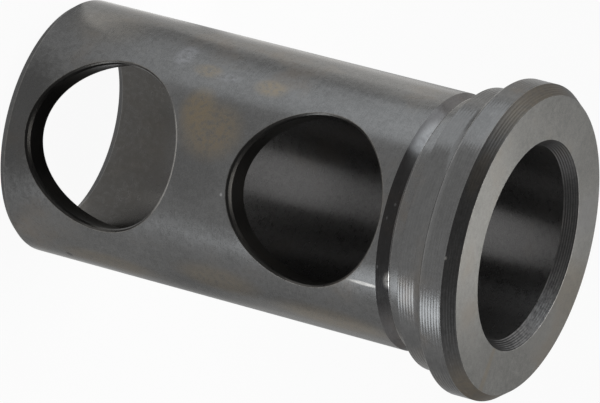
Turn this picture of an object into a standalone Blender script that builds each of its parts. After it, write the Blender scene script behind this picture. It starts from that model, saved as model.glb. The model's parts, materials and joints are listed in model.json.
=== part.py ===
"""A flanged tool holder bushing, turned from one bar of steel.

The bushing is a thick sleeve with a head at its top end. Two large holes go through the
front wall only, so that clamping screws can reach the tool inside. It stands on its plain
end, its axis is Z, and the cross holes look along -Y. All lengths are in metres.
"""
import math

import bpy
import bmesh

# Sleeve: a 1 1/2 inch bore in a 2 inch shank
BORE_RADIUS = 0.01905
WALL = 0.00635

# Broken edges of the plain end, outside and inside
END_CHAMFER_WIDTH = 0.0009
END_CHAMFER_HEIGHT = 0.0011
BORE_LEAD_WIDTH = 0.0013
BORE_LEAD_HEIGHT = 0.0016

# Cross holes: 1 1/4 inch, with a broken edge that follows the round of the shank
CROSS_HOLE_RADIUS = 0.015875
HOLE_COUNT = 2
HOLE_CHAMFER_WIDTH = 0.0007
HOLE_CHAMFER_DEPTH = 0.0012

# Metal left along the shank: below, between and above the cross holes
END_LAND = 0.0053
HOLE_WEB = 0.0118
GROOVE_LAND = 0.0005

# Relief groove between the shank and the head, deepest beside the head
GROOVE_WIDTH = 0.0027
GROOVE_DEPTH = 0.0012
GROOVE_FILLET = 0.0004

# Land above the groove, as large as the shank, and the collar that seats on the holder
LAND_WIDTH = 0.0033
COLLAR_STEP = 0.0024
COLLAR_WIDTH = 0.0037
COLLAR_EDGE = 0.0003

# Flange, joined to the collar by a wide hollow fillet
FLANGE_FILLET = 0.0024
FLANGE_LEDGE = 0.00035
FLANGE_BACK_ROUND = 0.0005
FLANGE_WIDTH = 0.0048

# Front of the flange: a narrow bevel and a wide one, up to the flat face
RIM_BEVEL_WIDTH = 0.0005
RIM_BEVEL_HEIGHT = 0.00065
FACE_BEVEL_WIDTH = 0.0013
FACE_BEVEL_HEIGHT = 0.00175

# Mouth of the bore: a steep countersink that leads the tool in
MOUTH_WIDTH = 0.0016
MOUTH_DEPTH = 0.0025

# Sizes that follow from these
SHANK_RADIUS = BORE_RADIUS + WALL
COLLAR_RADIUS = SHANK_RADIUS + COLLAR_STEP
FLANGE_RADIUS = COLLAR_RADIUS + FLANGE_FILLET + FLANGE_LEDGE + FLANGE_BACK_ROUND
FACE_RADIUS = FLANGE_RADIUS - RIM_BEVEL_WIDTH - FACE_BEVEL_WIDTH
MOUTH_RADIUS = BORE_RADIUS + MOUTH_WIDTH
HOLE_RIM_RADIUS = CROSS_HOLE_RADIUS + HOLE_CHAMFER_WIDTH
FIRST_HOLE_HEIGHT = END_LAND + HOLE_RIM_RADIUS
HOLE_PITCH = 2 * HOLE_RIM_RADIUS + HOLE_WEB
TOP_HOLE_HEIGHT = FIRST_HOLE_HEIGHT + (HOLE_COUNT - 1) * HOLE_PITCH
GROOVE_HEIGHT = TOP_HOLE_HEIGHT + HOLE_RIM_RADIUS + GROOVE_LAND
SHOULDER_HEIGHT = GROOVE_HEIGHT + GROOVE_WIDTH + LAND_WIDTH
FLANGE_BACK_HEIGHT = SHOULDER_HEIGHT + COLLAR_WIDTH + FLANGE_FILLET
FLANGE_FRONT_HEIGHT = FLANGE_BACK_HEIGHT + FLANGE_WIDTH
RIM_BEVEL_TOP = FLANGE_FRONT_HEIGHT + RIM_BEVEL_HEIGHT
OVERALL_LENGTH = RIM_BEVEL_TOP + FACE_BEVEL_HEIGHT

# Finish of the model
TURN_STEPS = 96
HOLE_STEPS = 72
ARC_STEPS = 4
OVERRUN = 0.001
WELD_DISTANCE = 0.000001
SMOOTH_ANGLE = math.radians(25)
STEEL_COLOUR = (0.055, 0.056, 0.058, 1.0)
STEEL_ROUGHNESS = 0.38
STEEL_METALLIC = 0.75


def clear_scene():
    """Remove the objects that a new file starts with."""
    for old in list(bpy.data.objects):
        bpy.data.objects.remove(old, do_unlink=True)


def arc(centre_radius, centre_height, radius, first_angle, last_angle):
    """Points of an arc in the turning profile, both ends included."""
    points = []
    for step in range(ARC_STEPS + 1):
        angle = math.radians(first_angle + (last_angle - first_angle) * step / ARC_STEPS)
        across = centre_radius + radius * math.cos(angle)
        height = centre_height + radius * math.sin(angle)
        points.append((across, height))
    return points


def plain_end_profile():
    """The standing end: inner lead, flat ring and outer chamfer."""
    return [
        (BORE_RADIUS, BORE_LEAD_HEIGHT),
        (BORE_RADIUS + BORE_LEAD_WIDTH, 0),
        (SHANK_RADIUS - END_CHAMFER_WIDTH, 0),
        (SHANK_RADIUS, END_CHAMFER_HEIGHT),
    ]


def groove_profile():
    """The relief groove: a taper that sinks toward the head, then turns up in a fillet.

    The taper starts at the shank's edge and just touches the fillet's circle.
    """
    fillet_radius = SHANK_RADIUS - GROOVE_DEPTH + GROOVE_FILLET
    fillet_height = GROOVE_HEIGHT + GROOVE_WIDTH - GROOVE_FILLET
    across = SHANK_RADIUS - fillet_radius
    along = fillet_height - GROOVE_HEIGHT
    to_centre = math.atan2(across, along)
    to_touch = math.asin(GROOVE_FILLET / math.hypot(across, along))
    taper = math.degrees(to_centre + to_touch)
    points = [(SHANK_RADIUS, GROOVE_HEIGHT)]
    points += arc(fillet_radius, fillet_height, GROOVE_FILLET, 180 + taper, 90)
    points.append((SHANK_RADIUS, GROOVE_HEIGHT + GROOVE_WIDTH))
    return points


def collar_profile():
    """The collar: its shoulder looks down and seats on the tool holder."""
    return [
        (SHANK_RADIUS, SHOULDER_HEIGHT),
        (COLLAR_RADIUS - COLLAR_EDGE, SHOULDER_HEIGHT),
        (COLLAR_RADIUS, SHOULDER_HEIGHT + COLLAR_EDGE),
    ]


def flange_profile():
    """Hollow fillet, back corner, rim and the two bevels of the flange."""
    points = arc(COLLAR_RADIUS + FLANGE_FILLET, FLANGE_BACK_HEIGHT - FLANGE_FILLET,
                 FLANGE_FILLET, 180, 90)
    points += arc(FLANGE_RADIUS - FLANGE_BACK_ROUND, FLANGE_BACK_HEIGHT + FLANGE_BACK_ROUND,
                  FLANGE_BACK_ROUND, 270, 360)
    points.append((FLANGE_RADIUS, FLANGE_FRONT_HEIGHT))
    points.append((FLANGE_RADIUS - RIM_BEVEL_WIDTH, RIM_BEVEL_TOP))
    points.append((FACE_RADIUS, OVERALL_LENGTH))
    return points


def mouth_profile():
    """From the flat face down the countersink to the bore."""
    return [
        (MOUTH_RADIUS, OVERALL_LENGTH),
        (BORE_RADIUS, OVERALL_LENGTH - MOUTH_DEPTH),
    ]


def turned_profile():
    """The whole section of the wall, as one closed loop."""
    return (plain_end_profile() + groove_profile() + collar_profile()
            + flange_profile() + mouth_profile())


def turn_on_lathe(name, profile):
    """Spin a closed section once around Z into a solid ring."""
    shape = bmesh.new()
    corners = [shape.verts.new((across, 0, height)) for across, height in profile]
    edges = [shape.edges.new((corners[i - 1], corners[i])) for i in range(len(corners))]
    bmesh.ops.spin(shape, geom=corners + edges, cent=(0, 0, 0), axis=(0, 0, 1),
                   angle=2 * math.pi, steps=TURN_STEPS, use_merge=True)
    bmesh.ops.remove_doubles(shape, verts=shape.verts[:], dist=WELD_DISTANCE)
    bmesh.ops.recalc_face_normals(shape, faces=shape.faces[:])
    return make_object(name, shape)


def make_object(name, shape):
    """Turn a bmesh into an object of the scene."""
    mesh = bpy.data.meshes.new(name)
    shape.to_mesh(mesh)
    shape.free()
    thing = bpy.data.objects.new(name, mesh)
    bpy.context.scene.collection.objects.link(thing)
    return thing


def saddle_ring(hole_radius, round_radius, height):
    """Points of a cross hole's edge where it lies on a round of the given radius."""
    points = []
    for step in range(HOLE_STEPS):
        angle = 2 * math.pi * step / HOLE_STEPS
        across = hole_radius * math.sin(angle)
        toward_front = -math.sqrt(round_radius ** 2 - across ** 2)
        points.append((across, toward_front, height + hole_radius * math.cos(angle)))
    return points


def flat_ring(hole_radius, front, height):
    """Points of a cross hole's outline on a flat plane across Y."""
    points = []
    for step in range(HOLE_STEPS):
        angle = 2 * math.pi * step / HOLE_STEPS
        points.append((hole_radius * math.sin(angle), front,
                       height + hole_radius * math.cos(angle)))
    return points


def cross_hole_cutter(name, height):
    """The space of one cross hole: a plug that flares along the saddle of the shank.

    The chamfer's foot and rim both follow the shank's round, as on an edge that is
    broken by hand or by a tool on a curved path, so its width is even all around.
    The plug ends just short of the axis, in the bore, and leaves the back wall whole.
    """
    slope = HOLE_CHAMFER_WIDTH / HOLE_CHAMFER_DEPTH
    outer_radius = HOLE_RIM_RADIUS + slope * OVERRUN
    rings = [
        flat_ring(CROSS_HOLE_RADIUS, -OVERRUN, height),
        saddle_ring(CROSS_HOLE_RADIUS, SHANK_RADIUS - HOLE_CHAMFER_DEPTH, height),
        saddle_ring(outer_radius, SHANK_RADIUS + OVERRUN, height),
        flat_ring(outer_radius, -(SHANK_RADIUS + OVERRUN + OVERRUN), height),
    ]
    shape = bmesh.new()
    loops = [[shape.verts.new(point) for point in ring] for ring in rings]
    for inner, outer in zip(loops, loops[1:]):
        for i in range(HOLE_STEPS):
            shape.faces.new((inner[i - 1], inner[i], outer[i], outer[i - 1]))
    shape.faces.new(loops[0])
    shape.faces.new(loops[-1])
    bmesh.ops.recalc_face_normals(shape, faces=shape.faces[:])
    cutter = make_object(name, shape)
    cutter.hide_render = True
    cutter.display_type = 'WIRE'
    return cutter


def drill_cross_holes(body):
    """Take each cross hole out of the body's front wall."""
    for index in range(HOLE_COUNT):
        height = FIRST_HOLE_HEIGHT + index * HOLE_PITCH
        cutter = cross_hole_cutter('cross_hole_cutter_%d' % (index + 1), height)
        cut = body.modifiers.new('cross hole %d' % (index + 1), 'BOOLEAN')
        cut.operation = 'DIFFERENCE'
        cut.solver = 'EXACT'
        cut.object = cutter


def blackened_steel():
    """Black oxide over turned steel: dark, slightly warm, with a soft metal shine."""
    material = bpy.data.materials.new('blackened steel')
    material.use_nodes = True
    surface = material.node_tree.nodes['Principled BSDF']
    surface.inputs['Base Color'].default_value = STEEL_COLOUR
    surface.inputs['Roughness'].default_value = STEEL_ROUGHNESS
    surface.inputs['Metallic'].default_value = STEEL_METALLIC
    return material


def settle_cuts(body):
    """Make the cuts part of the mesh, so that its new edges can be shaded sharp too."""
    shown = bpy.context.evaluated_depsgraph_get()
    body.data = bpy.data.meshes.new_from_object(body.evaluated_get(shown))
    body.modifiers.clear()
    body.data.shade_smooth()
    body.data.set_sharp_from_angle(angle=SMOOTH_ANGLE)


def build_bushing():
    """Turn the bushing, drill it and give it its finish."""
    body = turn_on_lathe('bushing', turned_profile())
    body.data.materials.append(blackened_steel())
    drill_cross_holes(body)
    settle_cuts(body)
    return body


clear_scene()
build_bushing()
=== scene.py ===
# %% [markdown]
# # A flanged tool holder bushing
# This lesson dresses one turned part for its portrait. The bushing is a thick steel sleeve
# with a head. It goes into a lathe's tool holder, a tool's round shank goes into its bore,
# and the holder's clamping screws reach the tool through the two large cross holes.
#
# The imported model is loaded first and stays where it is. Its solid has flat facets, which
# suit a collision model and not a close picture. So a finer mesh of the same form takes its
# place, with the small roundings, turning ridges and finishes that the real steel has.

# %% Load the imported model
import json
import math

import bpy
import bmesh
from mathutils import Matrix, Vector

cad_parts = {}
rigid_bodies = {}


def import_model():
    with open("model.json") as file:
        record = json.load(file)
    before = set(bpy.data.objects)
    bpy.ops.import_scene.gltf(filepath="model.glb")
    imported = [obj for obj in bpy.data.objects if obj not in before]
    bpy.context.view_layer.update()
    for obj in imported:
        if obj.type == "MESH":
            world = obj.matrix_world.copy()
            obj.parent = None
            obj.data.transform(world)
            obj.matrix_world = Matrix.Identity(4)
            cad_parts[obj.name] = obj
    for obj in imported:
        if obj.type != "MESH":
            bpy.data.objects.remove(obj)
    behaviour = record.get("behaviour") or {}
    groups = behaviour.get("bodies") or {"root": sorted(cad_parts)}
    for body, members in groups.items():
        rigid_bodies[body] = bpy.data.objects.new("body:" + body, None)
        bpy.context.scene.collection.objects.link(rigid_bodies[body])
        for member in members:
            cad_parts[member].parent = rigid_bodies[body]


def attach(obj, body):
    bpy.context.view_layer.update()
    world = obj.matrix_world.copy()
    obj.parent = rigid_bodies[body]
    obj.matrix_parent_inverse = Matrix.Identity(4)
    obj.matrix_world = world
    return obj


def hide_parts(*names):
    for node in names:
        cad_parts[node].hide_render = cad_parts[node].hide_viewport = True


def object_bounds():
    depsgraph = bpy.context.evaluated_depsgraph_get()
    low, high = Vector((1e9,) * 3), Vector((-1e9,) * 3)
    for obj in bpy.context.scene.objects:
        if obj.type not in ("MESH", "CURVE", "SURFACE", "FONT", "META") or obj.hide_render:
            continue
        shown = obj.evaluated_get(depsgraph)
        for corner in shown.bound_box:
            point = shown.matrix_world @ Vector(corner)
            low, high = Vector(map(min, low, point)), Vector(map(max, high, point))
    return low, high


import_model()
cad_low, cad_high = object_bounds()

print("CAD box in mm:", [round(1000 * v, 3) for v in (*cad_low, *cad_high)])

# %% [markdown]
# ## Sizes
# Sizes are written in millimetres, as on a drawing, and turned into metres once. The length
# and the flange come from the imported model's box. The others repeat the sizes that the solid
# was made with, apart from two that show only from close by: the plain end's outer edge is
# broken a little more than on the solid, and each cross hole's chamfer has a step in it.

# %% Name the sizes of the sleeve
MM = 0.001

LENGTH = cad_high.z
FLANGE_RADIUS = cad_high.x
BORE_RADIUS = 19.05 * MM
SHANK_RADIUS = 25.4 * MM

# A pair is a width across the wall and a height along the axis.
END_CHAMFER = (1.1 * MM, 1.5 * MM)
BORE_LEAD = (1.3 * MM, 1.6 * MM)

HOLE_RADIUS = 15.875 * MM
HOLE_CHAMFER_WIDTH = 0.7 * MM
HOLE_CHAMFER_DEPTH = 1.2 * MM
HOLE_STEP = (0.30 * MM, 0.45 * MM)
HOLE_RIM = HOLE_RADIUS + HOLE_CHAMFER_WIDTH
END_LAND = 5.3 * MM
HOLE_WEB = 11.8 * MM
HOLE_COUNT = 2
FIRST_HOLE = END_LAND + HOLE_RIM
HOLE_PITCH = 2 * HOLE_RIM + HOLE_WEB

print("cross holes at %.2f mm and %.2f mm above that" % (FIRST_HOLE / MM, HOLE_PITCH / MM))

# %% [markdown]
# ## Sizes of the head
# The head is built up from the last cross hole: a relief groove, a land as large as the
# shank, the collar, a hollow fillet, the flange with two bevels, and the mouth of the bore.
# Each place follows from the one before.

# %% Name the sizes of the head
GROOVE_LAND = 0.5 * MM
GROOVE_WIDTH = 2.7 * MM
GROOVE_DEPTH = 1.2 * MM
GROOVE_FILLET = 0.4 * MM
GROOVE_BOTTOM = FIRST_HOLE + (HOLE_COUNT - 1) * HOLE_PITCH + HOLE_RIM + GROOVE_LAND
GROOVE_TOP = GROOVE_BOTTOM + GROOVE_WIDTH

LAND_WIDTH = 3.3 * MM
SHOULDER = GROOVE_TOP + LAND_WIDTH
COLLAR_STEP = 2.4 * MM
COLLAR_WIDTH = 3.7 * MM
COLLAR_RADIUS = SHANK_RADIUS + COLLAR_STEP

FLANGE_FILLET = 2.4 * MM
FLANGE_WIDTH = 4.8 * MM
FLANGE_BACK = SHOULDER + COLLAR_WIDTH + FLANGE_FILLET
FLANGE_FRONT = FLANGE_BACK + FLANGE_WIDTH
RIM_BEVEL = (0.5 * MM, 0.65 * MM)
FACE_BEVEL_WIDTH = 1.3 * MM
FACE_RADIUS = FLANGE_RADIUS - RIM_BEVEL[0] - FACE_BEVEL_WIDTH
MOUTH_WIDTH = 1.6 * MM
MOUTH_DEPTH = 2.5 * MM
MOUTH_RADIUS = BORE_RADIUS + MOUTH_WIDTH
MOUTH_BOTTOM = LENGTH - MOUTH_DEPTH

print("shoulder at %.2f mm, flange back at %.2f mm" % (SHOULDER / MM, FLANGE_BACK / MM))

# %% [markdown]
# ## The section
# On a lathe everything follows from the section of the wall. It is written as corners, each
# with the radius that its edge is broken by, and a small function rounds them. A designer
# would sketch sharp corners first and add the fillets afterwards in the same way. The
# alternative, a Bevel modifier on the finished mesh, can't give each edge its own radius so
# simply, and it would also bevel the tiny turning ridges.

# %% Round a corner of an outline
def round_corner(before, corner, after, radius, steps):
    """Points of an arc that touches both legs of a corner."""
    to_before = (before - corner).normalized()
    to_after = (after - corner).normalized()
    half = to_before.angle(to_after) / 2
    reach = radius / math.tan(half)
    centre = corner + (to_before + to_after).normalized() * (radius / math.sin(half))
    start = corner + to_before * reach - centre
    end = corner + to_after * reach - centre
    turn = start.angle_signed(end)
    points = []
    for step in range(steps + 1):
        angle = -turn * step / steps
        points.append(centre + Matrix.Rotation(angle, 2) @ start)
    return points


ARC_STEPS = 4
sample_arc = round_corner(Vector((1, 0)), Vector((0, 0)), Vector((0, 1)), 0.5, ARC_STEPS)
print("a rounded corner:", [tuple(round(v, 3) for v in p) for p in sample_arc])

# %% [markdown]
# ## Corners of the sleeve and its head
# The outline runs round the wall once: across the plain end, up the shank, over the groove,
# collar and flange, across the face, into the mouth and down the bore. Each corner also says
# how the stretch after it was made, because a ground shank, a coarse-turned flange and a
# faced front look different even on one piece of steel. A crisp corner is as the tool left
# it, a broken one had its edge taken off, and a round one was turned with a rounded tool.

# %% Write the outline
FINISHES = ["end", "shank", "groove", "land", "fillet", "head", "bevel", "face", "mouth",
            "bore", "bored"]
(END, SHANK, GROOVE, LAND, FILLET, HEAD, BEVEL, FACE, MOUTH,
 BORE, BORED) = range(len(FINISHES))

CRISP = 0.05 * MM
BROKEN = 0.12 * MM
ROUND = 0.55 * MM


def groove_corner():
    """Radius where the groove's taper would meet its upper wall, if it had no fillet."""
    across = GROOVE_DEPTH - GROOVE_FILLET
    along = GROOVE_TOP - GROOVE_FILLET - GROOVE_BOTTOM
    to_centre = math.atan2(across, along)
    to_touch = math.asin(GROOVE_FILLET / math.hypot(across, along))
    return SHANK_RADIUS - (GROOVE_TOP - GROOVE_BOTTOM) * math.tan(to_centre + to_touch)


outline = [
    # radius, height, rounding, how much the corner is rubbed, finish of what follows
    (BORE_RADIUS, BORE_LEAD[1], BROKEN, 0.5, END),
    (BORE_RADIUS + BORE_LEAD[0], 0, BROKEN, 1.0, END),
    (SHANK_RADIUS - END_CHAMFER[0], 0, ROUND, 0.4, END),
    (SHANK_RADIUS, END_CHAMFER[1], ROUND, 0.2, SHANK),
    (SHANK_RADIUS, GROOVE_BOTTOM, CRISP, 0.2, GROOVE),
    (groove_corner(), GROOVE_TOP, GROOVE_FILLET, 0.0, GROOVE),
    (SHANK_RADIUS, GROOVE_TOP, ROUND, 0.2, LAND),
    (SHANK_RADIUS, SHOULDER, CRISP, 0.0, LAND),
    (COLLAR_RADIUS, SHOULDER, BROKEN, 0.0, HEAD),
    (COLLAR_RADIUS, FLANGE_BACK, FLANGE_FILLET, 0.0, FILLET),
    (FLANGE_RADIUS, FLANGE_BACK, ROUND, 0.12, HEAD),
    (FLANGE_RADIUS, FLANGE_FRONT, BROKEN, 0.1, BEVEL),
    (FLANGE_RADIUS - RIM_BEVEL[0], FLANGE_FRONT + RIM_BEVEL[1], BROKEN, 0.3, BEVEL),
    (FACE_RADIUS, LENGTH, BROKEN, 0.3, FACE),
    (MOUTH_RADIUS, LENGTH, BROKEN, 0.3, MOUTH),
    (BORE_RADIUS, MOUTH_BOTTOM, BROKEN, 0.2, BORE),
]
print(len(outline), "corners")

# %% [markdown]
# ## Rows for the cross holes
# The mesh round each cross hole is a window: a patch of the wall whose outer edge is a
# rectangle on the turned rows and whose inner edge is the hole. The turned mesh needs a row
# of points at every height where a window's edge has one, so that the two weld together.

# %% Work out the windows
TURN_STEPS = 192
WINDOW_COLUMNS = 72
WINDOW_ROWS = 36
WINDOW_ANGLE = 2 * math.pi * WINDOW_COLUMNS / TURN_STEPS
WINDOW_MARGIN = 0.35 * MM
WINDOW_HALF_HEIGHT = HOLE_RIM + WINDOW_MARGIN


def window_heights():
    """Heights of all the rows along the sides of the windows."""
    heights = []
    for index in range(HOLE_COUNT):
        middle = FIRST_HOLE + index * HOLE_PITCH
        for row in range(WINDOW_ROWS + 1):
            heights.append(middle + WINDOW_HALF_HEIGHT * (2 * row / WINDOW_ROWS - 1))
    return heights


print("windows reach from %.2f to %.2f mm"
      % (min(window_heights()) / MM, max(window_heights()) / MM))

# %% [markdown]
# ## Turning ridges
# A lathe tool leaves a fine thread of ridges. On the collar, the flange, the bevels and the
# mouth of the bore they are coarse enough to see in the photograph, as streaks across the
# highlights, so they are real geometry here, a few hundredths of a millimetre deep. The
# finest marks are left to the material.

# %% Fill the stretches between the corners
RIDGE_STEPS = 6
RIDGES = {
    # finish: pitch and depth of the ridges
    HEAD: (0.60 * MM, 0.025 * MM),
    BEVEL: (0.55 * MM, 0.030 * MM),
    MOUTH: (0.50 * MM, 0.055 * MM),
}
ROW_SPACING = 1.2 * MM


def plain_run(start, end):
    """Points inside a straight stretch, about one row spacing apart."""
    count = max(1, round((end - start).length / ROW_SPACING))
    return [start.lerp(end, step / count) for step in range(1, count)]


def levelled_run(start, end):
    """Points inside an upright stretch at the heights that the windows need."""
    lower, upper = sorted((start.y, end.y))
    heights = sorted(h for h in window_heights() if lower < h < upper)
    if end.y < start.y:
        heights.reverse()
    return [Vector((start.x, height)) for height in heights]


def ridged_run(start, end, pitch, depth):
    """Points inside a straight stretch, sunk in even waves below the surface."""
    waves = max(1, round((end - start).length / pitch))
    count = waves * RIDGE_STEPS
    along = (end - start).normalized()
    inward = Vector((-along.y, along.x))
    points = []
    for step in range(1, count):
        sink = depth * (1 - math.cos(2 * math.pi * step / RIDGE_STEPS)) / 2
        points.append(start.lerp(end, step / count) + inward * sink)
    return points


def run_between(start, end, finish):
    """Points inside one stretch of the outline, by the way it was turned."""
    if finish in (SHANK, BORE):
        return levelled_run(start, end)
    if finish in RIDGES:
        return ridged_run(start, end, *RIDGES[finish])
    return plain_run(start, end)


shank_run = run_between(Vector((SHANK_RADIUS, 0)), Vector((SHANK_RADIUS, SHOULDER)), SHANK)
print(len(shank_run), "points up the shank, ridges on", [FINISHES[n] for n in RIDGES])

# %% [markdown]
# ## The whole section as rows
# The rounded corners and the stretches between them are strung together into one list of
# rows. Wear is written down with each row, because an edge is rubbed most in the middle of
# its rounding, and the steel will show bright there.

# %% String the rows together
def section_rows():
    """The whole outline as rows: radius, height, finish and how much its edge is worn."""
    rows = []
    corners = [Vector(corner[:2]) for corner in outline]
    arcs = []
    for index, corner in enumerate(corners):
        before = corners[index - 1]
        after = corners[(index + 1) % len(corners)]
        arcs.append(round_corner(before, corner, after, outline[index][2], ARC_STEPS))
    for index, arc in enumerate(arcs):
        worn, finish = outline[index][3:]
        after = arcs[(index + 1) % len(arcs)]
        for step, point in enumerate(arc):
            rim = math.sin(math.pi * step / ARC_STEPS)
            rows.append((point.x, point.y, finish, worn * rim))
        for point in run_between(arc[-1], after[0], finish):
            rows.append((point.x, point.y, finish, 0.0))
    return rows


rows = section_rows()
print(len(rows), "rows, radii %.2f to %.2f mm"
      % (min(r[0] for r in rows) / MM, max(r[0] for r in rows) / MM))

# %% [markdown]
# ## A hand for wiring nodes
# Geometry Nodes and shaders hold long formulas, and drawn by hand those are a web of Math
# nodes. Here a node's output is added and multiplied like a number, and each sign adds the
# Math node that it stands for.

# %% Let node outputs be used in formulas
class Signal:
    """A node's output. Arithmetic on it adds Math nodes to the same tree."""

    def __init__(self, tree, socket):
        self.tree = tree
        self.socket = socket

    def math(self, operation, *others):
        """Add a Math node that starts with this signal."""
        node = add_node(self.tree, "ShaderNodeMath", operation=operation)
        for place, value in enumerate((self, *others)):
            plug(self.tree, node.inputs[place], value)
        return Signal(self.tree, node.outputs[0])

    def __add__(self, other):
        return self.math("ADD", other)

    def __sub__(self, other):
        return self.math("SUBTRACT", other)

    def __mul__(self, other):
        return self.math("MULTIPLY", other)

    def __truediv__(self, other):
        return self.math("DIVIDE", other)


print("signs for node outputs: + - * /")

# %% [markdown]
# ## Adding and linking nodes
# One call adds a node, sets its options and fills its inputs. A value that is the same
# everywhere is set on the socket itself.

# %% Add nodes and fill their inputs
def plug(tree, place, value):
    """Link a signal or socket to an input, or set a plain value there."""
    if isinstance(value, Signal):
        value = value.socket
    if isinstance(value, bpy.types.NodeSocket):
        tree.links.new(value, place)
    else:
        place.default_value = value


def add_node(tree, kind, inputs=None, **options):
    """Add a node, set its options, then fill the named or numbered inputs."""
    node = tree.nodes.new(kind)
    for option, value in options.items():
        setattr(node, option, value)
    for place, value in (inputs or {}).items():
        plug(tree, node.inputs[place], value)
    return node


def vector(tree, x, y, z):
    """Three signals or numbers as one vector socket."""
    return add_node(tree, "ShaderNodeCombineXYZ", {0: x, 1: y, 2: z}).outputs[0]


def parts_of(tree, socket):
    """The X, Y and Z of a vector as signals."""
    node = add_node(tree, "ShaderNodeSeparateXYZ", {0: socket})
    return [Signal(tree, output) for output in node.outputs]


print("node helpers ready")

# %% [markdown]
# ## A table of rows that a node tree can read
# The trees look up each row by its number. Their tables are plain meshes with one point for
# each row. The point's place holds three sizes, and attributes hold the rest.

# %% Make a table mesh
def add_object(name, data):
    """A new object, linked into the scene."""
    thing = bpy.data.objects.new(name, data)
    bpy.context.scene.collection.objects.link(thing)
    return thing


def table_object(name, places, finishes, worn):
    """A mesh of loose points that holds one row's values in each point."""
    mesh = bpy.data.meshes.new(name)
    mesh.from_pydata(places, [], [])
    finish = mesh.attributes.new("finish", "INT", "POINT")
    finish.data.foreach_set("value", finishes)
    wear = mesh.attributes.new("wear", "FLOAT", "POINT")
    wear.data.foreach_set("value", worn)
    return add_object(name, mesh)


def section_lengths(rows):
    """How far each row lies along the outline, from the first row on."""
    lengths = [0.0]
    for before, row in zip(rows, rows[1:]):
        lengths.append(lengths[-1] + math.dist(before[:2], row[:2]))
    return lengths


section_places = [(row[0], length, row[1]) for row, length in zip(rows, section_lengths(rows))]
section_table = table_object("section_table", section_places,
                             [row[2] for row in rows], [row[3] for row in rows])
print("outline length %.1f mm" % (section_places[-1][1] / MM))

# %% [markdown]
# ## Turning the section with Geometry Nodes
# A turned part follows one rule: the same section at every angle. The tree makes a flat grid
# with one column for each angle and one row for each point of the section, reads the row's
# radius and height from the table, and rolls the grid up. A Screw modifier would do the same
# for the shape, but here each face can also look up its finish and its place along the
# outline, which the materials need.

# %% Open a tree with named inputs
def new_tree(name, inputs):
    """A Geometry Nodes tree with named inputs, and the group's own input and output nodes."""
    tree = bpy.data.node_groups.new(name, "GeometryNodeTree")
    tree.interface.new_socket("Geometry", in_out="OUTPUT", socket_type="NodeSocketGeometry")
    tree.interface.new_socket("Table", in_out="INPUT", socket_type="NodeSocketGeometry")
    for label, kind in inputs:
        tree.interface.new_socket(label, in_out="INPUT", socket_type="NodeSocket" + kind)
    start = tree.nodes.new("NodeGroupInput")
    end = tree.nodes.new("NodeGroupOutput")
    given = {output.name: Signal(tree, output) for output in start.outputs if output.name}
    return tree, given, end


def look_up(tree, table, data_type, value, row):
    """Read a value from the table's point with the row's number."""
    node = add_node(tree, "GeometryNodeSampleIndex", {0: table, 1: value, 2: row},
                    data_type=data_type)
    return node.outputs[0]


def stored(tree, name, data_type):
    """A named attribute of the geometry that a lookup reads."""
    node = add_node(tree, "GeometryNodeInputNamedAttribute", {"Name": name},
                    data_type=data_type)
    return node.outputs[0]


def keep(tree, geometry, name, data_type, domain, value):
    """Store a value on the geometry under a name, and return the geometry."""
    node = add_node(tree, "GeometryNodeStoreNamedAttribute",
                    {"Geometry": geometry, "Name": name, "Value": value},
                    data_type=data_type, domain=domain)
    return node.outputs[0]


def read_place(tree, table, row):
    """The three sizes that the table holds for a row."""
    place = add_node(tree, "GeometryNodeInputPosition").outputs[0]
    return parts_of(tree, look_up(tree, table, "FLOAT_VECTOR", place, row))


def roll_up(tree, grid, table, row, face_row, uv, place):
    """Move a grid's points to their places, with the wear and the finish from the table."""
    wear = look_up(tree, table, "FLOAT", stored(tree, "wear", "FLOAT"), row)
    finish = look_up(tree, table, "INT", stored(tree, "finish", "INT"), face_row)
    mesh = keep(tree, grid.outputs["Mesh"], "wear", "FLOAT", "POINT", wear)
    mesh = keep(tree, mesh, "finish", "INT", "FACE", finish)
    mesh = keep(tree, mesh, "UVMap", "FLOAT2", "CORNER", uv)
    moved = add_node(tree, "GeometryNodeSetPosition", {"Geometry": mesh, "Position": place})
    return moved.outputs[0]


WINDOW_INPUTS = [("Window angle", "Float"), ("Window half height", "Float"),
                 ("First window", "Float"), ("Window pitch", "Float"), ("Window count", "Int")]
WINDOW_VALUES = {"Window angle": WINDOW_ANGLE, "Window half height": WINDOW_HALF_HEIGHT,
                 "First window": FIRST_HOLE, "Window pitch": HOLE_PITCH,
                 "Window count": HOLE_COUNT}
print("both trees take:", [label for label, _ in WINDOW_INPUTS])

# %% [markdown]
# ## Ending a tree and keeping its result
# Each face carries the number of its finish, and the last nodes turn it into a material. The
# result is then kept as a plain mesh, because an exported model has no modifiers. A
# modifier's inputs go by their identifiers, which stay the same when a label is changed.

# %% Dress a tree's mesh and bake it
def dress(tree, geometry, end):
    """End a tree: realise its instances and give each face the material of its finish."""
    whole = add_node(tree, "GeometryNodeRealizeInstances", {"Geometry": geometry})
    geometry = whole.outputs[0]
    finish = Signal(tree, stored(tree, "finish", "INT"))
    for number, name in enumerate(FINISHES):
        chosen = finish.math("COMPARE", number, 0.5)
        node = add_node(tree, "GeometryNodeSetMaterial",
                        {"Geometry": geometry, "Selection": chosen,
                         "Material": bpy.data.materials[name]})
        geometry = node.outputs[0]
    tree.links.new(geometry, end.inputs[0])


def bake(tree, thing, values):
    """Run a tree on an object, and return the result as a plain object."""
    modifier = thing.modifiers.new(tree.name, "NODES")
    modifier.node_group = tree
    for item in tree.interface.items_tree:
        if item.in_out == "INPUT" and item.name in values:
            modifier[item.identifier] = values[item.name]
    shown = bpy.context.evaluated_depsgraph_get()
    mesh = bpy.data.meshes.new_from_object(thing.evaluated_get(shown))
    thing.modifiers.remove(modifier)
    bpy.data.objects.remove(thing)
    mesh.name = tree.name
    return add_object(tree.name, mesh)


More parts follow.
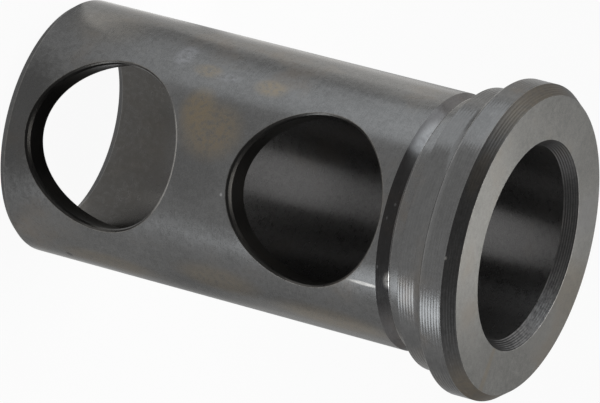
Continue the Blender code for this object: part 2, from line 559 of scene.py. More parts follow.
for name in FINISHES:
    bpy.data.materials.new(name)
print("one material for each of", ", ".join(FINISHES))

# %% [markdown]
# ## The turned body
# This is the tree itself. Where a cross hole will be, it deletes the faces of one window, so
# that the next tree can fill in a hole with good faces round its edge.

# %% Build the turning tree
def turning_tree():
    """Roll the section table up into a ring, with the windows left open."""
    tree, given, end = new_tree("turned_body", [
        ("Rows", "Int"), ("Steps", "Int")] + WINDOW_INPUTS)
    grid = add_node(tree, "GeometryNodeMeshGrid",
                    {"Vertices X": given["Steps"] + 1, "Vertices Y": given["Rows"] + 1})
    turn, up, _ = parts_of(tree, grid.outputs["UV Map"])
    row = (up * given["Rows"]).math("ROUND").math("MODULO", given["Rows"])
    radius, length, height = read_place(tree, given["Table"], row)
    angle = turn * (2 * math.pi)
    rolled = vector(tree, radius * angle.math("SINE"), radius * angle.math("COSINE") * -1, height)
    below = (up * given["Rows"]).math("FLOOR")
    body = roll_up(tree, grid, given["Table"], row, below, vector(tree, turn, length, 0), rolled)

    x, y, z = parts_of(tree, add_node(tree, "GeometryNodeInputPosition").outputs[0])
    from_front = x.math("ARCTAN2", y * -1).math("ABSOLUTE")
    number = ((z - given["First window"]) / given["Window pitch"]).math("ROUND")
    number = number.math("MAXIMUM", 0).math("MINIMUM", given["Window count"] - 1)
    from_middle = z - (given["First window"] + number * given["Window pitch"])
    inside = (from_front.math("LESS_THAN", given["Window angle"] / 2)
              * from_middle.math("ABSOLUTE").math("LESS_THAN", given["Window half height"]))
    opened = add_node(tree, "GeometryNodeDeleteGeometry",
                      {"Geometry": body, "Selection": inside}, domain="FACE")
    dress(tree, opened.outputs[0], end)
    return tree


turned = bake(turning_tree(), section_table, {
    "Rows": len(rows), "Steps": TURN_STEPS, **WINDOW_VALUES})
print("turned body:", len(turned.data.polygons), "faces")

# %% [markdown]
# ## The section of a cross hole
# Each hole has a section too: a chamfer in two steps, the steeper one inside, the bored wall
# and the small round where it meets the bore. In place of a turning radius and a height it
# has the hole's radius and the radius of the round that the point lies on. Points with both
# radii fixed trace a saddle curve, the line where two crossing cylinders meet.

# %% List the rows of one window
HOLE_EDGE = 0.2 * MM
BORE_EDGE = 0.2 * MM
OUTER_ROWS = 12
WALL_ROWS = 6
INNER_ROWS = 6
HOLE_ARCS = [
    # corner, rounding, finish of what follows, how much the corner is rubbed
    (1, HOLE_EDGE, BORED, 0.6),
    (2, HOLE_EDGE / 2, BORED, 0.12),
    (3, HOLE_EDGE, BORED, 0.0),
    (4, BORE_EDGE, BORE, 0.6),
]


def window_corners():
    """Corners of a cross hole's section: hole radius against the radius of the round."""
    return [Vector(corner) for corner in (
        (HOLE_RIM + HOLE_CHAMFER_WIDTH, SHANK_RADIUS),
        (HOLE_RIM, SHANK_RADIUS),
        (HOLE_RADIUS + HOLE_STEP[0], SHANK_RADIUS - HOLE_STEP[1]),
        (HOLE_RADIUS, SHANK_RADIUS - HOLE_CHAMFER_DEPTH),
        (HOLE_RADIUS, BORE_RADIUS),
        (HOLE_RADIUS + HOLE_CHAMFER_WIDTH, BORE_RADIUS))]


def window_rows():
    """Rows from the window's outer rectangle, through the hole, to its inner rectangle.

    Each row is: how far it is from rectangle to circle, hole radius, radius of the round,
    finish of the stretch that follows, and how much its edge is worn.
    """
    corners = window_corners()
    arcs = [round_corner(*corners[place - 1:place + 2], radius, ARC_STEPS)
            for place, radius, _, _ in HOLE_ARCS]
    rows = [(step / OUTER_ROWS, *arcs[0][0], SHANK, 0.0) for step in range(OUTER_ROWS)]
    for arc, (_, _, finish, worn) in zip(arcs, HOLE_ARCS):
        for step, point in enumerate(arc):
            rim = math.sin(math.pi * step / ARC_STEPS)
            follows = finish if step == ARC_STEPS else BORED
            rows.append((1.0, *point, follows, worn * rim))
        if arc is arcs[-2]:
            for step in range(1, WALL_ROWS):
                rows.append((1.0, *arc[-1].lerp(arcs[-1][0], step / WALL_ROWS), BORED, 0.0))
    for step in range(1, INNER_ROWS + 1):
        rows.append((1 - step / INNER_ROWS, *arcs[-1][-1], BORE, 0.0))
    return rows


lining_rows = window_rows()
lining_table = table_object("lining_table", [row[:3] for row in lining_rows],
                            [row[3] for row in lining_rows], [row[4] for row in lining_rows])
print(len(lining_rows), "rows in a window")

# %% [markdown]
# ## Lining the windows with Geometry Nodes
# The tree rolls a grid round the hole as the first one did round the sleeve. Seen from the
# front, every row lies between the window's rectangle and a circle. Its points are then
# pushed back onto the round that they belong to, so the chamfer keeps an even width where it
# climbs over the side of the shank. Both windows are instances of one lining, set a hole
# pitch apart on a mesh line. A Boolean cut is quicker to set up, but it leaves long thin
# faces beside the holes that shade badly on a polished round.

# %% Build the lining tree
def along_side(k, first, length):
    """A signal that runs from 0 to 1 while the step number passes one side of the window."""
    return ((k - first) / length).math("MAXIMUM", 0).math("MINIMUM", 1)


def lining_tree():
    """Fit the window table round each cross hole, between the rectangle and the hole."""
    tree, given, end = new_tree("hole_lining", [
        ("Rows", "Int"), ("Columns", "Int"), ("Side rows", "Int")] + WINDOW_INPUTS)
    columns, side_rows = given["Columns"], given["Side rows"]
    around = (columns + side_rows) * 2
    grid = add_node(tree, "GeometryNodeMeshGrid",
                    {"Vertices X": around + 1, "Vertices Y": given["Rows"]})
    turn, up, _ = parts_of(tree, grid.outputs["UV Map"])
    last_row = given["Rows"] - 1
    row = (up * last_row).math("ROUND")
    roundness, hole_radius, round_radius = read_place(tree, given["Table"], row)

    k = (turn * around).math("ROUND")
    across_top = along_side(k, 0, columns)
    down_side = along_side(k, columns, side_rows)
    across_bottom = along_side(k, columns + side_rows, columns)
    up_side = along_side(k, columns * 2 + side_rows, side_rows)
    side_angle = (across_top - across_bottom - 0.5) * given["Window angle"]
    side_x = round_radius * side_angle.math("SINE")
    side_z = (up_side - down_side + 0.5) * (given["Window half height"] * 2)

    corner_turn = columns / around * math.pi
    angle = turn * (2 * math.pi) - corner_turn
    circle_x = hole_radius * angle.math("SINE")
    circle_z = hole_radius * angle.math("COSINE")
    x = side_x + (circle_x - side_x) * roundness
    z = side_z + (circle_z - side_z) * roundness
    y = (round_radius * round_radius - x * x).math("SQRT") * -1

    before = (up * last_row).math("FLOOR")
    lining = roll_up(tree, grid, given["Table"], row, before,
                     vector(tree, turn, up, 0), vector(tree, x, y, z))
    line = add_node(tree, "GeometryNodeMeshLine",
                    {"Count": given["Window count"],
                     "Start Location": vector(tree, 0, 0, given["First window"]),
                     "Offset": vector(tree, 0, 0, given["Window pitch"])})
    copies = add_node(tree, "GeometryNodeInstanceOnPoints",
                      {"Points": line.outputs[0], "Instance": lining})
    dress(tree, copies.outputs[0], end)
    return tree


linings = bake(lining_tree(), lining_table, {
    "Rows": len(lining_rows), "Columns": WINDOW_COLUMNS, "Side rows": WINDOW_ROWS,
    **WINDOW_VALUES})
print("linings:", len(linings.data.polygons), "faces")

# %% [markdown]
# ## One closed piece
# The real bushing is one piece of steel, so the turned body and the linings are joined and
# welded, also along the seam where each grid closes on itself. Then every edge has exactly
# two faces, and the normals can be turned outwards. Normals are weighted by face area, which
# keeps the large faces flat beside their tiny roundings. The trees leave an empty material
# slot in front, which is taken out, and the faces' slot numbers follow by themselves.

# %% Weld the body and the linings
WELD = 0.001 * MM


def join(things):
    """Join several meshes into the first one, materials included."""
    with bpy.context.temp_override(active_object=things[0], selected_editable_objects=things):
        bpy.ops.object.join()
    return things[0]


def weld(thing):
    """Merge points that share a place, turn the faces outwards, and count open edges."""
    shape = bmesh.new()
    shape.from_mesh(thing.data)
    bmesh.ops.remove_doubles(shape, verts=shape.verts[:], dist=WELD)
    bmesh.ops.recalc_face_normals(shape, faces=shape.faces[:])
    open_edges = sum(1 for edge in shape.edges if len(edge.link_faces) != 2)
    volume = shape.calc_volume()
    shape.to_mesh(thing.data)
    shape.free()
    thing.data.shade_smooth()
    return open_edges, volume


def weigh_normals(thing):
    """Give each point a normal that follows its largest faces, and bake it in."""
    modifier = thing.modifiers.new("weighted normals", "WEIGHTED_NORMAL")
    modifier.mode = "FACE_AREA"
    modifier.weight = 50
    shown = bpy.context.evaluated_depsgraph_get()
    mesh = bpy.data.meshes.new_from_object(thing.evaluated_get(shown))
    thing.modifiers.remove(modifier)
    thing.data = mesh


bushing = join([turned, linings])
bushing.name = "steel_bushing"
open_edges, volume = weld(bushing)
bushing.data.materials.pop(index=0)
weigh_normals(bushing)
print("open edges: %d, volume: %.2f cm3" % (open_edges, volume * 1e6))
print([slot.material.name for slot in bushing.material_slots])

# %% [markdown]
# ## Noise for the steel
# Blackened steel is cloudy, grainy and finely scratched. All of that is made from noise in
# the object's own coordinates, so it stays on the steel when the view turns. An image would
# need the mesh to be unwrapped, and it would blur from close by.

# %% Make noise and mix colours
PER_MM = 1 / MM


def noise(tree, place, scale, detail, roughness):
    """Smooth random values from 0 to 1, with the given number of bumps in a unit."""
    node = add_node(tree, "ShaderNodeTexNoise",
                    {"Vector": place, "Scale": scale, "Detail": detail,
                     "Roughness": roughness})
    return Signal(tree, node.outputs["Fac"])


def stretch(tree, value, low, high, new_low=0.0, new_high=1.0):
    """Map the values between low and high smoothly to a new range."""
    node = add_node(tree, "ShaderNodeMapRange",
                    {"Value": value, "From Min": low, "From Max": high,
                     "To Min": new_low, "To Max": new_high}, interpolation_type="SMOOTHSTEP")
    return Signal(tree, node.outputs[0])


def weigh(signals, shares):
    """The sum of some signals, each times its share."""
    total = signals[0] * shares[0]
    for signal, share in zip(signals[1:], shares[1:]):
        total = total + signal * share
    return total


def blend(tree, amount, first, second):
    """Mix two colours by an amount from 0 to 1."""
    node = add_node(tree, "ShaderNodeMix", {0: amount, 6: first, 7: second},
                    data_type="RGBA")
    return node.outputs[2]


def rgb(red, green, blue):
    """A colour with full opacity."""
    return (red, green, blue, 1.0)


# Bumps in a millimetre, as a scale for metres, then detail and roughness of each noise.
LINES = (9 * PER_MM, 3, 0.65)
BROAD_LINES = (1.6 * PER_MM, 2, 0.5)
CLOUDS = (0.07 * PER_MM, 4, 0.6)
MOTTLE = (0.9 * PER_MM, 5, 0.7)
GRAIN = (4 * PER_MM, 3, 0.7)
print("bumps in a millimetre, fine lines to clouds:",
      [round(scale * MM, 2) for scale, _, _ in (LINES, GRAIN, BROAD_LINES, MOTTLE, CLOUDS)])

# %% [markdown]
# ## Stains, rubbed places and painted light
# Handling and oil leave brown stains, chalky and sooty places, specks and rubbed edges.
# Other patches are painted highlights and glints, and some are painted shade.
# Each is laid on as an ellipse on the round, at an angle from the front and a height. The
# mottle of the skin makes its outline ragged and breaks it up inside, more so where its
# speckle is high. A painted texture would be freer, but a short table is easier to change.

# %% Lay patches over a colour
RAGGED = 0.8
PATCH_FADE = (1.3, 0.5)
MOTTLE_RANGE = (0.35, 0.62)


def add_patches(tree, colour, place, mottle, patches):
    """Lay ragged patches of other colours over a colour, at given places on the round."""
    x, y, z = parts_of(tree, place)
    angle = x.math("ARCTAN2", y * -1) * math.degrees(1)
    height = z * PER_MM
    ragged = (mottle - 0.5) * RAGGED
    for middle_angle, middle_height, half_angle, half_height, tint, amount, speckle in patches:
        around = (angle - middle_angle) / half_angle
        along = (height - middle_height) / half_height
        away = (around * around + along * along).math("SQRT") + ragged
        covers = stretch(tree, mottle, *MOTTLE_RANGE,
                         amount * (1 - speckle), amount * (1 + speckle))
        colour = blend(tree, stretch(tree, away, *PATCH_FADE) * covers, colour, tint)
    return colour


# Bare steel on rubbed edges, and painted highlights and glints.
BARE_STEEL_AND_HIGHLIGHT = rgb(0.54, 0.52, 0.49)
BROWN = rgb(0.160, 0.133, 0.096)
DULL_BROWN = rgb(0.068, 0.064, 0.056)
CHALK = rgb(0.160, 0.160, 0.165)
# Pale specks, and painted highlights and glints.
PALE_SPECK_AND_HIGHLIGHT = rgb(0.30, 0.30, 0.30)
# Dark specks, and painted shade where a place is darkened in its colour.
SOOT_AND_PAINTED_SHADE = rgb(0.028, 0.027, 0.026)
print("a patch is whole inside %.1f and gone outside %.1f of its size" % PATCH_FADE[::-1])

# %% [markdown]
# ## Where the patches lie
# The front of the bushing faces an angle of 0, and positive angles go to its right when it
# stands on its plain end. The collar's fillet and the flange were turned in one cut, and they
# share their patches: a painted highlight along the flange's back edge and a painted shade.

# %% List the patches of each finish
PATCHES = {
    # angle, height, half angle (degrees), half height (mm), colour, amount, speckle
    "shank": [
        # darker near the plain end, across the front
        (-3, 3.5, 32, 7, SOOT_AND_PAINTED_SHADE, 0.55, 0.05),
        # painted shade on the front of the shank between the holes
        (0, 42, 12, 7, SOOT_AND_PAINTED_SHADE, 0.16, 0.2),
        (12, 31, 30, 1.0, CHALK, 0.3, 0.3),
        (-19, 44.0, 13, 6.5, BROWN, 0.55, 0.55),
        (-27, 39.5, 10, 3.5, BROWN, 0.6, 0.55),
        (-47, 37.5, 4, 3.0, BROWN, 0.4, 0.6),
        (-46, 51.5, 5, 3.5, BROWN, 0.45, 0.6),
        (-53, 31.0, 8, 2.2, CHALK, 0.5, 0.8),
        (-46, 42.0, 3, 3.0, CHALK, 0.3, 0.8),
        (-60, 12, 14, 8, BROWN, 0.12, 0.3),
        (52, 48, 9, 9, BROWN, 0.35, 0.3),
        (60, 72, 9, 12, BROWN, 0.30, 0.3),
        (64, 22, 8, 11, BROWN, 0.30, 0.3),
        # painted shade on the right side near the plain end
        (45, 14, 14, 10, SOOT_AND_PAINTED_SHADE, 0.16, 0.1),
        (68.5, 12, 2.5, 0.7, SOOT_AND_PAINTED_SHADE, 0.7, 0.0),
        (7, 49.6, 0.8, 0.28, PALE_SPECK_AND_HIGHLIGHT, 0.7, 0.0),
        # painted highlight: a bright line along the shank below the groove
        (30.2, 81.5, 0.9, 3.4, BARE_STEEL_AND_HIGHLIGHT, 0.4, 0.3),
    ],
    "bore": [
        (0, 4, 900, 14, DULL_BROWN, 0.6, 0.2),
    ],
    "groove": [
        # painted highlight on the groove's left side
        (-40, 86.0, 14, 1.7, PALE_SPECK_AND_HIGHLIGHT, 0.55, 0.25),
        # painted glint in the groove's fillet
        (27, 86.0, 4, 0.8, BARE_STEEL_AND_HIGHLIGHT, 0.8, 0.25),
        # pale specks
        (-8, 85.4, 0.8, 0.16, PALE_SPECK_AND_HIGHLIGHT, 0.9, 0.0),
        (-1.5, 84.6, 0.7, 0.14, PALE_SPECK_AND_HIGHLIGHT, 0.9, 0.0),
        (20.5, 84.2, 0.8, 0.16, PALE_SPECK_AND_HIGHLIGHT, 0.9, 0.0),
    ],
    "face": [
        (75, 103, 2.0, 9, BROWN, 0.35, 0.3),
        (160, 103, 14, 9, BROWN, 0.25, 0.3),
        (-165, 103, 10, 9, CHALK, 0.35, 0.3),
        # painted shade on the right side of the face
        (132, 103, 34, 9, SOOT_AND_PAINTED_SHADE, 0.18, 0.1),
    ],
    "head": [
        # painted highlight along the flange's back edge
        (-12, 95.8, 36, 1.2, PALE_SPECK_AND_HIGHLIGHT, 0.16, 0.2),
        # painted shade on the collar and fillet
        (-44, 93, 14, 8, SOOT_AND_PAINTED_SHADE, 0.14, 0.1),
    ],
    "bored": [
        # painted shade on the lower rims of both cross holes
        (0, 6.0, 40, 4.0, SOOT_AND_PAINTED_SHADE, 0.85, 0.05),
        (0, 50.6, 40, 4.0, SOOT_AND_PAINTED_SHADE, 0.7, 0.05),
        # painted highlight on the upper rim of the first cross hole
        (0, 37.2, 30, 3.5, BARE_STEEL_AND_HIGHLIGHT, 0.45, 0.1),
    ],
    "bevel": [
        (-26, 102, 10, 1.2, BROWN, 0.25, 0.3),
        (-72, 102, 30, 2.5, BROWN, 0.35, 0.3),
        (78, 102, 28, 2.5, BROWN, 0.45, 0.3),
        (6, 100.9, 0.7, 0.2, BARE_STEEL_AND_HIGHLIGHT, 0.9, 0.0),
    ],
    "mouth": [
        # painted highlight and glints in the mouth
        (128, 102, 42, 3, PALE_SPECK_AND_HIGHLIGHT, 0.30, 0.7),
    ],
}
PATCHES["fillet"] = PATCHES["head"]
print({finish: len(patches) for finish, patches in PATCHES.items()})

# %% [markdown]
# ## Blackened steel
# Black oxide is a skin about a micron thick. It takes its gloss from the metal under it, so
# a smooth ground shank shines softly and a coarse-turned flange shows every ridge. One
# function makes the steel for every finish: the skin's colour with its clouds and stains,
# fine marks that run along the cut, a highlight that they draw out, bright steel where an
# edge has been rubbed bare, and patches of painted highlight and painted shade.

# %% Make the steel
BROWN_TINT = rgb(0.13, 0.095, 0.06)
BROWN_SHARE = 0.25
EDGE_TINT = rgb(0.45, 0.45, 0.45)
LIGHTER = 1.55
ALONG_THE_MARKS = 0.04
TONE_SHARES = (0.35, 0.25, 0.40)
TONE_RANGE = (0.38, 0.62)
LINE_RANGE = (0.3, 0.7)
LINE_SHARE = 0.75
CLOUDS_OVER_LINES = 0.6
CLOUD_RANGE = (0.52, 0.75)
RUB_RANGE = (0.3, 0.6, 0.35, 1.0)
ROUGH_SHARES = (0.10, 0.12, 0.06)
ROUGH_MIDDLE = sum(ROUGH_SHARES) / 2
BROAD_HEIGHT = 1.5
GRAIN_HEIGHT = 0.0003 * MM
MARKS_RUN_ROUND = 0.25


def across_marks(tree, place, across):
    """The coordinate that crosses the tool marks: height, depth or place on the section."""
    x, y, z = parts_of(tree, place)
    if across == "height":
        return z
    if across == "depth":
        return y
    uv = add_node(tree, "ShaderNodeUVMap", uv_map="UVMap").outputs[0]
    return parts_of(tree, uv)[1]


def skin_colour(tree, skin, contrast, lines, clouds, mottle, grain):
    """The oxide's colour, from the skin's own to a lighter one, with a brownish cloud."""
    light_skin = rgb(*(LIGHTER * part for part in skin[:3]))
    tone = stretch(tree, weigh((mottle, clouds, grain), TONE_SHARES), *TONE_RANGE)
    line_share = LINE_SHARE - contrast * CLOUDS_OVER_LINES
    tone = tone * contrast + stretch(tree, lines, *LINE_RANGE) * line_share
    colour = blend(tree, tone, skin, light_skin)
    return blend(tree, stretch(tree, clouds, *CLOUD_RANGE) * BROWN_SHARE, colour, BROWN_TINT)


def draw_out(tree, surface, x, y, spread):
    """Spread the highlights across marks that run round the axis."""
    surface.inputs["Anisotropic"].default_value = spread
    surface.inputs["Anisotropic Rotation"].default_value = MARKS_RUN_ROUND
    around = add_node(tree, "ShaderNodeVectorMath",
                      {0: vector(tree, y * -1, x, 0)}, operation="NORMALIZE")
    plug(tree, surface.inputs["Tangent"], around.outputs[0])


def finish_steel(name, skin, shine, across, mark_height, spread, bare, metal, contrast, patches):
    """Fill the material of one finish.

    skin is the oxide's colour, shine its roughness, and across the way that crosses its tool
    marks. mark_height is how high they stand, spread how far they draw a highlight out, bare
    how much steel shows on its edges, and contrast how cloudy the skin is.
    """
    material = bpy.data.materials[name]
    material.use_nodes = True
    tree = material.node_tree
    surface = tree.nodes["Principled BSDF"]
    place = add_node(tree, "ShaderNodeTexCoord").outputs["Object"]
    x, y, z = parts_of(tree, place)
    mark = across_marks(tree, place, across)
    if across == "depth":
        lay = vector(tree, x * ALONG_THE_MARKS, mark, z * ALONG_THE_MARKS)
    else:
        lay = vector(tree, x * ALONG_THE_MARKS, y * ALONG_THE_MARKS, mark)
    lines = noise(tree, lay, *LINES)
    broad_lines = noise(tree, lay, *BROAD_LINES)
    clouds = noise(tree, place, *CLOUDS)
    mottle = noise(tree, place, *MOTTLE)
    grain = noise(tree, place, *GRAIN)

    colour = skin_colour(tree, skin, contrast, lines, clouds, mottle, grain)
    colour = add_patches(tree, colour, place, mottle, patches)
    wear = Signal(tree, add_node(tree, "ShaderNodeAttribute",
                                 attribute_name="wear").outputs["Fac"])
    rubbed = wear * stretch(tree, mottle, *RUB_RANGE) * bare
    plug(tree, surface.inputs["Base Color"], blend(tree, rubbed, colour, BARE_STEEL_AND_HIGHLIGHT))

    rough = weigh((lines, mottle, clouds), ROUGH_SHARES) + (shine - ROUGH_MIDDLE)
    plug(tree, surface.inputs["Roughness"], rough)
    surface.inputs["Metallic"].default_value = metal
    surface.inputs["Specular Tint"].default_value = EDGE_TINT
    if spread:
        draw_out(tree, surface, x, y, spread)

    heights = (mark_height, mark_height * BROAD_HEIGHT, GRAIN_HEIGHT)
    height = weigh((lines, broad_lines, grain), heights)
    bump = add_node(tree, "ShaderNodeBump", {"Strength": 1.0, "Distance": 1.0,
                                              "Height": height})
    plug(tree, surface.inputs["Normal"], bump.outputs[0])


print("roughness varies by %.2f about a finish's own" % ROUGH_MIDDLE)

# %% [markdown]
# ## Eleven finishes of one steel
# The finishes differ by how they were cut. The ground shank and the bore draw their
# highlights out most, the face that was turned flat is the palest and dullest, and the walls
# of the cross holes, where a drill has cut across the lay, are the darkest.

# %% Fill the material of each finish
SKIN = rgb(0.0865, 0.0865, 0.086)
FACE_SKIN = rgb(0.117, 0.117, 0.1135)
GROOVE_SKIN = rgb(0.080, 0.078, 0.078)
BORE_SKIN = rgb(0.122, 0.120, 0.119)
DARK_SKIN = rgb(0.055, 0.053, 0.050)
MOUTH_SKIN = rgb(0.085, 0.084, 0.084)
BEVEL_SKIN = rgb(0.085, 0.084, 0.083)
FINE = 0.0003 * MM
COARSE = 0.0005 * MM
STEELS = [
    # finish, skin, roughness, across the marks, their height, spread, bare, metal, contrast
    ("end", SKIN, 0.36, "section", FINE, 0.5, 0.8, 1.0, 0.6),
    ("shank", SKIN, 0.28, "height", FINE, 0.8, 0.8, 1.0, 0.75),
    ("groove", GROOVE_SKIN, 0.24, "section", FINE, 0.6, 0.8, 1.0, 0.6),
    ("land", SKIN, 0.26, "section", FINE, 0.8, 0.8, 1.0, 0.6),
    ("fillet", SKIN, 0.21, "section", COARSE, 0.8, 0.8, 1.0, 0.6),
    ("head", SKIN, 0.24, "section", COARSE, 0.5, 0.8, 1.0, 0.6),
    ("bevel", BEVEL_SKIN, 0.42, "section", FINE, 0.5, 0.8, 1.0, 0.8),
    ("face", FACE_SKIN, 0.42, "section", FINE, 0.3, 0.8, 1.0, 1.0),
    ("mouth", MOUTH_SKIN, 0.34, "section", COARSE, 0.3, 0.8, 1.0, 0.9),
    ("bore", BORE_SKIN, 0.29, "height", FINE, 0.8, 0.5, 0.75, 0.9),
    ("bored", DARK_SKIN, 0.30, "depth", FINE, 0.0, 0.55, 0.8, 0.6),
]
for steel in STEELS:
    finish_steel(*steel, PATCHES.get(steel[0], ()))
print("steel made in", len(STEELS), "finishes")

# %% [markdown]
# ## Into the frame
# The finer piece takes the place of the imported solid, which stays for the collision model.

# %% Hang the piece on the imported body
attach(bushing, "root")
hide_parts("bushing")

# %% [markdown]
# ## Camera
# The photographer laid the bushing down and looked along it with a long lens. Here it
# stands on its plain end, so the camera is rolled about its own axis to give the same
# picture. The angles, place and lens were solved from edges that show in the photograph.

# %% Set up the camera
CAMERA_AZIMUTH = math.radians(-5.6367)
CAMERA_ELEVATION = math.radians(26.0139)
CAMERA_ROLL = math.radians(104.7996)
CAMERA_AIM = Vector((2.964, -0.2925, 54.049)) * MM
CAMERA_DISTANCE = 1163.30 * MM
SENSOR_WIDTH_MM = 36.0
LENS_MM = 360.992


def direction(azimuth, elevation):
    """The way from the object to something at that azimuth and elevation."""
    level = math.cos(elevation)
    return Vector((math.sin(azimuth) * level, -math.cos(azimuth) * level,
                   math.sin(elevation)))


def add_camera():
    """A camera that looks at the aim point, rolled about its own axis."""
    lens = bpy.data.cameras.new("camera")
    lens.sensor_width = SENSOR_WIDTH_MM
    lens.lens = LENS_MM
    camera = add_object("camera", lens)
    back = direction(CAMERA_AZIMUTH, CAMERA_ELEVATION)
    right = Vector((0, 0, 1)).cross(back).normalized()
    up = back.cross(right)
    turned_right = math.cos(CAMERA_ROLL) * right + math.sin(CAMERA_ROLL) * up
    turned_up = math.cos(CAMERA_ROLL) * up - math.sin(CAMERA_ROLL) * right
    camera.matrix_world = Matrix((turned_right, turned_up, back)).transposed().to_4x4()
    camera.location = CAMERA_AIM + back * CAMERA_DISTANCE
    bpy.context.scene.camera = camera
    return camera


camera = add_camera()
print("camera at", [round(v / MM, 1) for v in camera.location], "mm")

# %% [markdown]
# ## Floor
# Catalogue photographs stand on white. The floor is white for the camera and in the steel's
# reflections, and a small share of ordinary matt white in it keeps the object's soft shadow.
# It lies a hair below the plain end, so that the two flat faces don't fight for the picture.

# %% Lay the floor
FLOOR_SIZE = 6.0
FLOOR_DROP = 0.02 * MM
SHADOW_SHARE = 0.06


def floor_material():
    """White to the camera and to reflections, with a little matt white for the shadow."""
    material = bpy.data.materials.new("white floor")
    material.use_nodes = True
    tree = material.node_tree
    tree.nodes.clear()
    end = tree.nodes.new("ShaderNodeOutputMaterial")
    rays = add_node(tree, "ShaderNodeLightPath").outputs
    seen = Signal(tree, rays["Is Camera Ray"]).math("MAXIMUM", Signal(tree, rays["Is Glossy Ray"]))
    seen = seen.math("MAXIMUM", Signal(tree, rays["Is Transmission Ray"]))
    matt = add_node(tree, "ShaderNodeBsdfDiffuse", {"Color": rgb(0.8, 0.8, 0.8)})
    white = add_node(tree, "ShaderNodeEmission", {"Color": rgb(1, 1, 1), "Strength": 1.0})
    mix = add_node(tree, "ShaderNodeMixShader",
                   {0: seen * (1 - SHADOW_SHARE), 1: matt.outputs[0], 2: white.outputs[0]})
    tree.links.new(mix.outputs[0], end.inputs["Surface"])
    return material


def add_floor():
    """One square, just below the plain end."""
    mesh = bpy.data.meshes.new("floor")
    half = FLOOR_SIZE / 2
    corners = [(-half, -half, -FLOOR_DROP), (half, -half, -FLOOR_DROP),
               (half, half, -FLOOR_DROP), (-half, half, -FLOOR_DROP)]
    mesh.from_pydata(corners, [], [(0, 1, 2, 3)])
    mesh.materials.append(floor_material())
    return add_object("floor", mesh)


floor = add_floor()
print("floor laid, %.0f m square" % FLOOR_SIZE)

# %% [markdown]
# ## Soft boxes
# A round polished bar shows its lamps as stripes along its length, so each lamp here is a
# soft box, an area light that the camera doesn't see. The camera looks down on the steel,
# which therefore mirrors the floor more than the room, so some boxes lie on the floor.

# %% Make a soft box
SHEET_LIFT = 0.3 * MM


def add_light(name, width, tall, strength, colour):
    """A soft box at the origin. strength is what a square metre of it sends out."""
    light = bpy.data.lights.new(name, "AREA")
    light.shape = "RECTANGLE"
    light.size = width
    light.size_y = tall
    light.energy = strength * width * tall
    light.color = colour
    lamp = add_object(name, light)
    lamp.rotation_mode = "QUATERNION"
    lamp.visible_camera = False
    return lamp


def add_lamp(name, azimuth, away, up, width, tall, strength, colour, lean):
    """A standing soft box that faces the middle of the bushing, and may lean sideways."""
    lamp = add_light(name, width, tall, strength, colour)
    lamp.location = direction(math.radians(azimuth), 0) * away + Vector((0, 0, up))
    way = lamp.location - Vector((0, 0, LENGTH / 2))
    leaning = Matrix.Rotation(math.radians(lean), 3, "Z").to_quaternion()
    lamp.rotation_quaternion = way.to_track_quat("Z", "Y") @ leaning


def add_sheet(name, foot, azimuth, gap, sideways, width, length, strength, colour):
    """A soft box lying on the floor, facing up. It starts a gap away from the shank's foot."""
    lamp = add_light(name, width, length, strength, colour)
    ahead = direction(math.radians(azimuth), 0)
    aside = direction(math.radians(azimuth - 90), 0)
    start = direction(math.radians(foot), 0) * SHANK_RADIUS + Vector((0, 0, SHEET_LIFT))
    lamp.location = start + ahead * (gap + length / 2) + aside * sideways
    down = Vector((0, 0, -1))
    turned = Matrix((ahead.cross(down), ahead, down)).transposed()
    lamp.rotation_quaternion = turned.to_quaternion()


print("straight ahead is", [round(part, 2) for part in direction(0, 0)])

# %% [markdown]
# ## Placing the soft boxes
# The photograph shows a narrow bright stripe on one side of the bushing and a broad soft one
# on the other. The narrow lamp leans, because its stripe runs slightly across the shank. The
# rear lamp and the two cards brighten the outermost edges, the face lamp grades the front
# face from one side to the other, and the back lamp fills in. The three sheets light the
# half of the shank that is nearer to the floor.

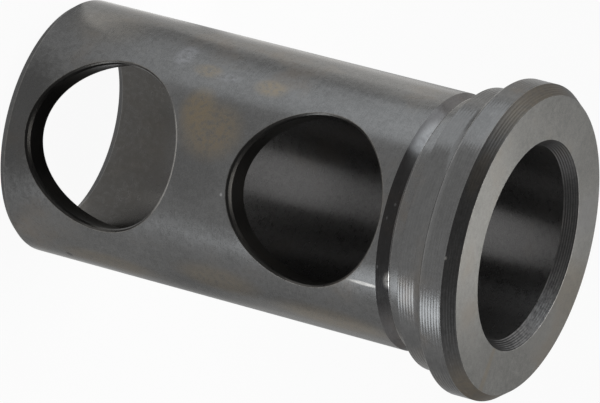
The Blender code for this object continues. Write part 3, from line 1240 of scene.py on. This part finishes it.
# %% Place the soft boxes
COOL_WHITE = (0.90, 0.95, 1.0)
WARM_WHITE = (1.0, 0.98, 0.94)
LAMPS = [
    # name, azimuth in degrees, then in metres: distance, height, width, how tall;
    # strength, colour, lean in degrees
    ("narrow_lamp", 57, 0.19, 0.060, 0.068, 0.10, 12.5, COOL_WHITE, -30),
    ("broad_lamp", -80, 0.12, 0.075, 0.093, 0.142, 3.9, COOL_WHITE, 0),
    ("rear_lamp", -130, 0.14, 0.050, 0.12, 0.10, 2.5, WARM_WHITE, 0),
    ("left_card", -129, 0.065, 0.032, 0.045, 0.055, 5, WARM_WHITE, 0),
    ("right_card", 125, 0.12, 0.020, 0.06, 0.05, 3, WARM_WHITE, 0),
    ("back_lamp", 178, 0.15, 0.19, 0.10, 0.10, 1, WARM_WHITE, 0),
    ("face_lamp", 179, 0.05, 0.185, 0.06, 0.05, 18, WARM_WHITE, 0),
]
SHEETS = [
    # name, azimuth of the shank's foot where it starts and of the way it runs, in degrees,
    # then in metres: gap, sideways, width, length; strength, colour
    ("front_sheet", -36, -66, 0.035, 0.030, 0.060, 0.080, 2.0, COOL_WHITE),
    ("left_sheet", -80, -154, 0.0, 0.0, 0.028, 0.050, 4.5, WARM_WHITE),
    ("right_sheet", 62, 131, 0.0, 0.0, 0.050, 0.070, 1.1, WARM_WHITE),
]
for lamp in LAMPS:
    add_lamp(*lamp)
for sheet in SHEETS:
    add_sheet(*sheet)
print(len(LAMPS), "lamps and", len(SHEETS), "sheets")

# %% [markdown]
# ## The tent around it
# A white tent surrounds the table. The camera sees it as plain white. For the steel it is
# bright behind and below, and darker in front and above, where the camera looks in, so the
# middle of the shank stays dark between its two stripes.

# %% Pitch the tent
TENT_FRONT = 0.19
TENT_BACK = 0.9
TENT_FADE = (-0.5, 0.3)
TENT_SLOPE = (0.8, -0.6)


def add_tent():
    """A world that is white to the camera and graded for the steel."""
    world = bpy.data.worlds.new("white tent")
    world.use_nodes = True
    tree = world.node_tree
    sky = tree.nodes["Background"]
    sky.inputs["Color"].default_value = rgb(1, 1, 1)
    x, y, z = parts_of(tree, add_node(tree, "ShaderNodeTexCoord").outputs["Generated"])
    tent = stretch(tree, weigh((y, z), TENT_SLOPE), *TENT_FADE, TENT_FRONT, TENT_BACK)
    seen = Signal(tree, add_node(tree, "ShaderNodeLightPath").outputs["Is Camera Ray"])
    plug(tree, sky.inputs["Strength"], tent.math("MAXIMUM", seen))
    return world


bpy.context.scene.world = add_tent()
bpy.context.scene.view_settings.view_transform = "Standard"
print("tent from %.2f in front to %.2f behind" % (TENT_FRONT, TENT_BACK))
